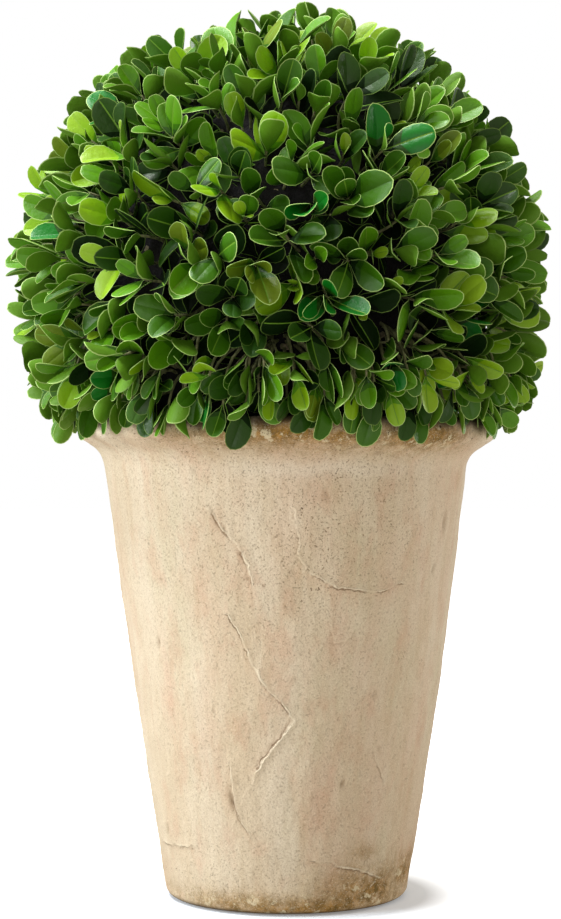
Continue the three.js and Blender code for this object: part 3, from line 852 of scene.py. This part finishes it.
# Cup, fold along the rib, curl of the tip, twist, narrowness, notch at the tip, and whether the rib shows.
LEAF_FORMS = [
    leaf_form(2.2, 0.8, 0.12, 0.0, 0.96, 0.0, True),
    leaf_form(-1.0, 0.0, -0.18, 0.15, 0.98, 0.015, False),
    leaf_form(3.0, 0.3, 0.02, -0.2, 0.86, 0.0, False),
    leaf_form(-1.6, 1.0, -0.12, 0.1, 0.92, 0.01, True),
    leaf_form(1.4, 0.6, 0.20, 0.25, 0.9, 0.0, False),
    leaf_form(3.4, 0.0, -0.10, -0.1, 0.94, 0.02, False),
    leaf_form(0.4, 1.6, -0.22, -0.3, 1.02, 0.0, False),
    leaf_form(3.8, 0.2, 0.08, 0.2, 0.8, 0.0, False),
    leaf_form(-0.8, 0.4, 0.0, -0.15, 0.84, 0.02, False),
    leaf_form(1.0, 1.4, -0.05, 0.35, 0.92, 0.0, True),
]
# A few points and faces of a form, enough to tell whether two leaves cross.
TEST_POINTS = [13, 18, 22, 26, 36, 40, 44, 54, 58, 62, 72]
TEST_FACES = [(0, 1, 2), (0, 2, 3), (1, 4, 5), (1, 5, 2), (2, 5, 6), (2, 6, 3)]
TEST_FACES += [(4, 7, 8), (4, 8, 5), (5, 8, 9), (5, 9, 6), (7, 10, 8), (8, 10, 9)]
TEST_SCALE = 1.07  # so that rounded edges clear each other too

# Base colours, as on a screen, and how many of a hundred sprays have them.
TINTS = {
    "deep": ((36, 76, 4), 20),
    "mid": ((58, 108, 5), 25),
    "grass": ((86, 144, 8), 24),
    "bright": ((132, 178, 14), 17),
    "emerald": ((6, 116, 22), 7),
    "olive": ((106, 132, 22), 4),
    "fresh": ((142, 182, 34), 3),
    # Painted shade: the last two tints, for leaves deep in the ball and the darkest rows at leaf roots.
    "shade": ((14, 38, 5), 0),
    "deep_shade": ((7, 19, 4), 0),
}
# From light to dark: towards its root a leaf takes the next three in turn, as painted shade.
LADDER = ["fresh", "bright", "grass", "mid", "deep", "shade", "deep_shade"]
BESIDE = {"emerald": "mid", "olive": "grass"}  # where the others would stand on it
# The margins' painted highlight is dimmer on these tints.
DIM_TINTS = ("deep", "shade", "deep_shade")  # whose margins are dimmer
# Each pair of a shoot: how far below its top, how far it spreads, how large its leaves are, and the share
# of its leaves that have the shaded colour.
PAIRS = [(0.5, 20, 0.80, 0.0), (4.5, 34, 0.95, 0.02), (9.5, 50, 1.02, 0.5), (15.5, 68, 0.98, 1.0)]
HANGING_PAIRS = [(0.3, 12, 0.74, 0.0), (2.5, 26, 0.84, 0.05), (7.0, 40, 0.9, 0.3)]
FRESH_PAIR = (0.2, 16, 0.42, 0.0)
FRESH_END_SHARE = 0.16  # of the shoots have a small fresh pair at their top
LEAF_SIZES = (0.72, 0.98, 1.34)  # the smallest, the usual and the largest
LEAF_TRIES = 12


def leaf_frame(axis, side, spread, roll, facing, share):
    """The directions across, along and out of the upper side of a leaf that spreads from an axis."""
    along = axis * math.cos(spread) + side * math.sin(spread)
    out = (1 - share) * (axis * math.sin(spread) - side * math.cos(spread)) + share * facing
    out = unit(out - (out @ along) * along)
    turned = out * math.cos(roll) + np.cross(along, out) * math.sin(roll)
    return np.stack([np.cross(along, turned), along, turned], axis=1)


def wanted_leaves(tips):
    """Opposite pairs, crosswise along every shoot, the outermost pairs first."""
    names = list(TINTS)
    weights = np.array([TINTS[name][1] for name in names], dtype=float)
    sprays = rng.choice(len(names), len(tips), p=weights / weights.sum())
    wanted = []
    for shoot, (_, _, hanging) in enumerate(tips):
        start = rng.normal(0, 0.4) if hanging else rng.uniform(0, math.pi)
        pairs = list(HANGING_PAIRS if hanging else PAIRS)
        fresh = not hanging and rng.random() < FRESH_END_SHARE
        if fresh:
            pairs[0] = FRESH_PAIR
        for p, (below, spread, size, shaded) in enumerate(pairs):
            tint = names.index("fresh") if fresh and p == 0 else sprays[shoot]
            if rng.random() < shaded:
                tint = names.index("deep_shade" if p == len(PAIRS) - 1 and rng.random() < 0.85 else "shade")
            for half in (0, math.pi):
                turn = start + p * math.pi / 2 + half
                wanted.append((p + 0.5 * rng.random(), shoot, below, turn, spread, size, tint))
    return sorted(wanted, key=lambda leaf: leaf[0])


def grow_leaves(tips, shoots):
    """The leaves that fit: inside the ball's reach, and clear of the pot, the shoots and each other."""
    shoot_trees = [BVHTree.FromPolygons(points.tolist(), faces.tolist()) for points, faces in shoots]
    shoot_ends = np.array([end for end, _, _ in tips])
    leaves = []
    trees = []
    middles = np.zeros((len(tips) * 2 * len(PAIRS), 3))
    for _, shoot, below, turn, spread, size, tint in wanted_leaves(tips):
        end, axis, hanging = tips[shoot]
        root = end - below * axis
        first = unit(np.cross(axis, [0, 0, 1] if hanging or abs(axis[2]) < 0.9 else [1, 0, 0]))
        second = np.cross(axis, first)
        facing = unit(root - BALL_CENTRE + ([0, 0, 25] if hanging else [0, 0, 0]))
        reach = FRINGE_REACH if hanging else TIP_REACH
        form = int(rng.integers(len(LEAF_FORMS)))
        size *= rng.triangular(*LEAF_SIZES)
        spread = math.radians(max(8, rng.normal(spread, 13)))
        turn += rng.normal(0, 0.3)
        roll = rng.normal(0, 0.45)
        close = np.flatnonzero(np.linalg.norm(shoot_ends - root, axis=1) < 1.6 * LEAF_LENGTH)
        for _ in range(LEAF_TRIES):
            side = math.cos(turn) * first + math.sin(turn) * second
            axes = leaf_frame(axis, side, spread, roll, facing, 0.6 if hanging else 0.08)
            points = root + size * (LEAF_FORMS[form][0] @ axes.T)
            if (np.linalg.norm(points - BALL_CENTRE, axis=1) > reach).any():
                spread += 0.1
                size *= 0.98
                continue
            if not clears_pot(points).all():
                spread = max(0.2, spread + rng.uniform(-0.25, 0.15))
                turn += rng.uniform(-0.5, 0.5)
                continue
            middle = points[TEST_POINTS[5]]
            test = middle + TEST_SCALE * (points[TEST_POINTS] - middle)
            tree = BVHTree.FromPolygons(test.tolist(), TEST_FACES)
            near = np.flatnonzero(np.linalg.norm(middles[: len(trees)] - middle, axis=1) < LEAF_LENGTH)
            hit = any(tree.overlap(trees[n]) for n in near)
            hit = hit or any(n != shoot and tree.overlap(shoot_trees[n]) for n in close)
            if not hit:
                middles[len(trees)] = middle
                trees.append(tree)
                leaves.append((form, tint, points))
                break
            turn += rng.normal(0, 0.3)
            spread = max(0.12, spread + rng.normal(0, 0.14))
            roll += rng.normal(0, 0.25)
            size *= 0.97
    return leaves


def darker(name):
    """The tints that a leaf of one darkens through to its root, as painted shade."""
    place = LADDER.index(BESIDE.get(name, name))
    return [LADDER[min(place + step, len(LADDER) - 1)] for step in (1, 2, 3)]


def make_leaves(leaves, materials):
    """One piece for each tint."""
    pieces = []
    for t, name in enumerate(TINTS):
        mine = [(form, points) for form, tint, points in leaves if tint == t]
        points, triangles = joined([(points, LEAF_FORMS[form][1]) for form, points in mine])
        surfaces = np.concatenate([LEAF_FORMS[form][2] for form, _ in mine])
        margin = "dim_margin" if name in DIM_TINTS else "margin"
        kinds = [name, margin, "underside", "rib", *darker(name)]
        used = list(dict.fromkeys(kinds))
        surfaces = np.array([used.index(kind) for kind in kinds])[surfaces]
        slots = [materials[kind] for kind in used]
        pieces.append(new_piece(f"leaves_{name}", points, triangles, slots, surfaces))
    return pieces


def leaf_materials():
    materials = {}
    for name, (colour, _) in TINTS.items():
        gloss = (0.6, 0.12) if name in ("shade", "deep_shade") else (0.42, 0.42)
        materials[name] = leaf_material(f"leaf_{name}", colour, *gloss)
    # The margins' pale colour is a painted highlight along the leaf edges, the dim one on dark and shaded
    # leaves.
    materials["margin"] = leaf_material("leaf_margin", (176, 208, 122), 0.5, 0.3)
    materials["dim_margin"] = leaf_material("leaf_margin_dim", (108, 138, 66), 0.6, 0.15)
    materials["underside"] = leaf_material("leaf_underside", (94, 140, 30), 0.55, 0.3)
    materials["rib"] = leaf_material("leaf_rib", (112, 158, 48), 0.44, 0.3)
    return materials


# ---- The dense growth inside, in painted shade ----


def make_inner_growth_painted_shade():
    """A rough ball of old twigs and leaves that closes the crown, with a plug in the pot's mouth, near black
    as painted shade.
    """
    ball = bmesh.new()
    bmesh.ops.create_icosphere(ball, subdivisions=5, radius=1.0)
    directions = np.array([v.co[:] for v in ball.verts])
    triangles = np.array([[v.index for v in face.verts] for face in ball.faces])
    ball.free()
    rough = fractal(directions * 90, CORE_BUMPS, 4)
    points = BALL_CENTRE + directions * (CORE_RADIUS + CORE_RELIEF * rough)[:, None]
    level = np.hypot(points[:, 0], points[:, 1])
    below = smooth_step(POT_HEIGHT + 5, POT_HEIGHT + 1, points[:, 2])
    squeeze = np.where(level > PLUG_RADIUS, PLUG_RADIUS / np.maximum(level, 1), 1.0)
    factor = 1 + (squeeze - 1) * below
    points[:, :2] *= factor[:, None]
    points[:, 2] = np.maximum(points[:, 2], CORE_FLOOR + 0.6 * rough)
    # Near black with a purple tint: painted shade.
    darks = [(0.35, (8, 5, 10)), (0.6, (18, 13, 18)), (0.8, (44, 36, 32))]
    growth = rough_material("inner_growth_painted_shade", (240, 5, 0.7), darks, 0.9, 0.003, 1.0)
    return new_piece("inner_growth_painted_shade", points, triangles, [growth])


# ---- The plant ----


def take_place(piece, slot, *nodes):
    """A piece rides with the part and stands for CAD nodes, which are hidden; its slot is not used."""
    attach(piece, BODY)
    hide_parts(*nodes)


pot_outside, lip = make_pot()
take_place(pot_outside, "clay", "pot")
take_place(make_pot_inside(lip), "clay", "pot")
take_place(make_soil(), "soil", "soil")
take_place(make_stem(), "bark", "stem")

limbs, fine, tips = grow_limbs()
wood = bark_material("twig_bark", (84, 76, 56), (166, 156, 126), 300)
green_wood = bark_material("shoot_bark", (70, 74, 42), (146, 148, 104), 500)
take_place(new_piece("boughs_and_twigs", *joined(limbs), [wood]), "bark", "foliage_ball")
take_place(new_piece("shoots", *joined(fine), [green_wood]), "bark", "foliage_ball")
for piece in make_leaves(grow_leaves(tips, fine), leaf_materials()):
    take_place(piece, "leaf", "foliage_ball")
take_place(make_inner_growth_painted_shade(), "leaf", "foliage_ball")


# ---- Stage, light and camera ----

CAMERA_PLACE = (-0.0026, -0.973, 0.186)
CAMERA_LENS = 88.6
SENSOR = 36.0
AIM = (0.0, 0.0, 0.2)
# Metres from the pot's axis. Outside the first, the floor is as bright as the backdrop. Outside the second,
# what it throws back up is at its brightest.
# Inside the first, the floor's glow drops: a painted shade round the pot's foot.
FLOOR_FADE = 0.105
BOUNCE_FADE = 0.3
BLACK = [0.0, 0.0, 0.0, 1.0]
# Rays that meet neither the bounce nor the backdrop.
UNMET = ("glossy", "transmission", "volume_scatter", "shadow")


def hide_from(thing, *rays):
    for ray in rays:
        setattr(thing, f"visible_{ray}", False)


def glowing_disc(name, vertices, radius, height, shader, fade, stops):
    """A level disc, and its glow, which changes with the distance from the pot's axis."""
    place = (0, 0, height)
    bpy.ops.mesh.primitive_circle_add(vertices=vertices, radius=radius, fill_type="NGON", location=place)
    disc = bpy.context.object
    disc.name = name
    disc.data.materials.append(shader.material)
    near = shader.add("ShaderNodeTexGradient", Vector=shader.scaled([1 / fade] * 3))
    near.gradient_type = "SPHERICAL"
    return disc, shader.ramp(near.outputs["Fac"], stops)


def make_floor():
    """A pale floor, bright enough to fade into the backdrop except close to the pot's foot, where its glow
    drops as painted shade.
    """
    shader = Shader("floor_white")
    stops = [(0.28, [0.9, 0.9, 0.9, 1]), (0.43, [0.18, 0.18, 0.18, 1])]
    floor, glow = glowing_disc("floor", 128, 7.5, -0.0004, shader, FLOOR_FADE, stops)
    pale = [0.8, 0.88, 0.98, 1.0]
    shader.finish(pale, 1.0, Emission_Color=glow, Emission_Strength=1.0, Specular_IOR_Level=0.0)
    hide_from(floor, "diffuse", "glossy")
    return floor


def make_bounce():
    """What the bright floor throws back up: a glowing disc that no camera sees."""
    shader = Shader("bounce_glow")
    stops = [(0.0, [1.0, 0.92, 0.82, 1]), (0.6, [0.62, 0.57, 0.5, 1])]
    disc, glow = glowing_disc("bounce_disc", 64, 0.9, -0.002, shader, BOUNCE_FADE, stops)
    shader.finish(BLACK, 1.0, Emission_Color=glow, Emission_Strength=1.02)
    hide_from(disc, "camera", *UNMET)
    return disc


def make_backdrop():
    """A white dome that only the camera sees, so it lights nothing."""
    bpy.ops.mesh.primitive_uv_sphere_add(segments=48, ring_count=24, radius=8.0)
    dome = bpy.context.object
    dome.name = "backdrop"
    shader = Shader("backdrop_white")
    white = (1, 1, 1, 1)
    shader.finish(BLACK, 1.0, Emission_Color=white, Emission_Strength=1.0, Specular_IOR_Level=0.0)
    dome.data.materials.append(shader.material)
    hide_from(dome, "diffuse", *UNMET)
    return dome


def add_light(name, place, size, power, colour=(1, 1, 1)):
    light = bpy.data.lights.new(name, "AREA")
    light.shape = "DISK"
    light.size = size
    light.energy = power
    light.color = colour
    lamp = bpy.data.objects.new(name, light)
    lamp.location = place
    lamp.rotation_euler = (Vector(AIM) - lamp.location).to_track_quat("-Z", "Y").to_euler()
    bpy.context.collection.objects.link(lamp)


make_floor()
make_bounce()
make_backdrop()
add_light("key", (-1.7, -0.65, 0.75), 1.1, 28, (0.92, 0.97, 1.0))
add_light("top", (-0.5, -0.25, 1.6), 0.7, 29)
add_light("edge", (1.3, 0.7, 0.5), 0.6, 6)
add_light("bounce", (-0.2, -1.1, 0.04), 0.8, 2.0)

world = bpy.data.worlds.new("studio")
world.use_nodes = True
background = world.node_tree.nodes["Background"]
background.inputs["Color"].default_value = (1.0, 0.87, 0.75, 1)
background.inputs["Strength"].default_value = 0.43
bpy.context.scene.world = world
bpy.context.scene.view_settings.view_transform = "Standard"

camera = bpy.data.cameras.new("camera")
camera.sensor_fit = "VERTICAL"
camera.sensor_height = SENSOR
camera.sensor_width = SENSOR
camera.lens = CAMERA_LENS
viewer = bpy.data.objects.new("camera", camera)
viewer.location = CAMERA_PLACE
viewer.rotation_euler = (math.pi / 2, 0, 0)
bpy.context.collection.objects.link(viewer)
bpy.context.scene.camera = viewer
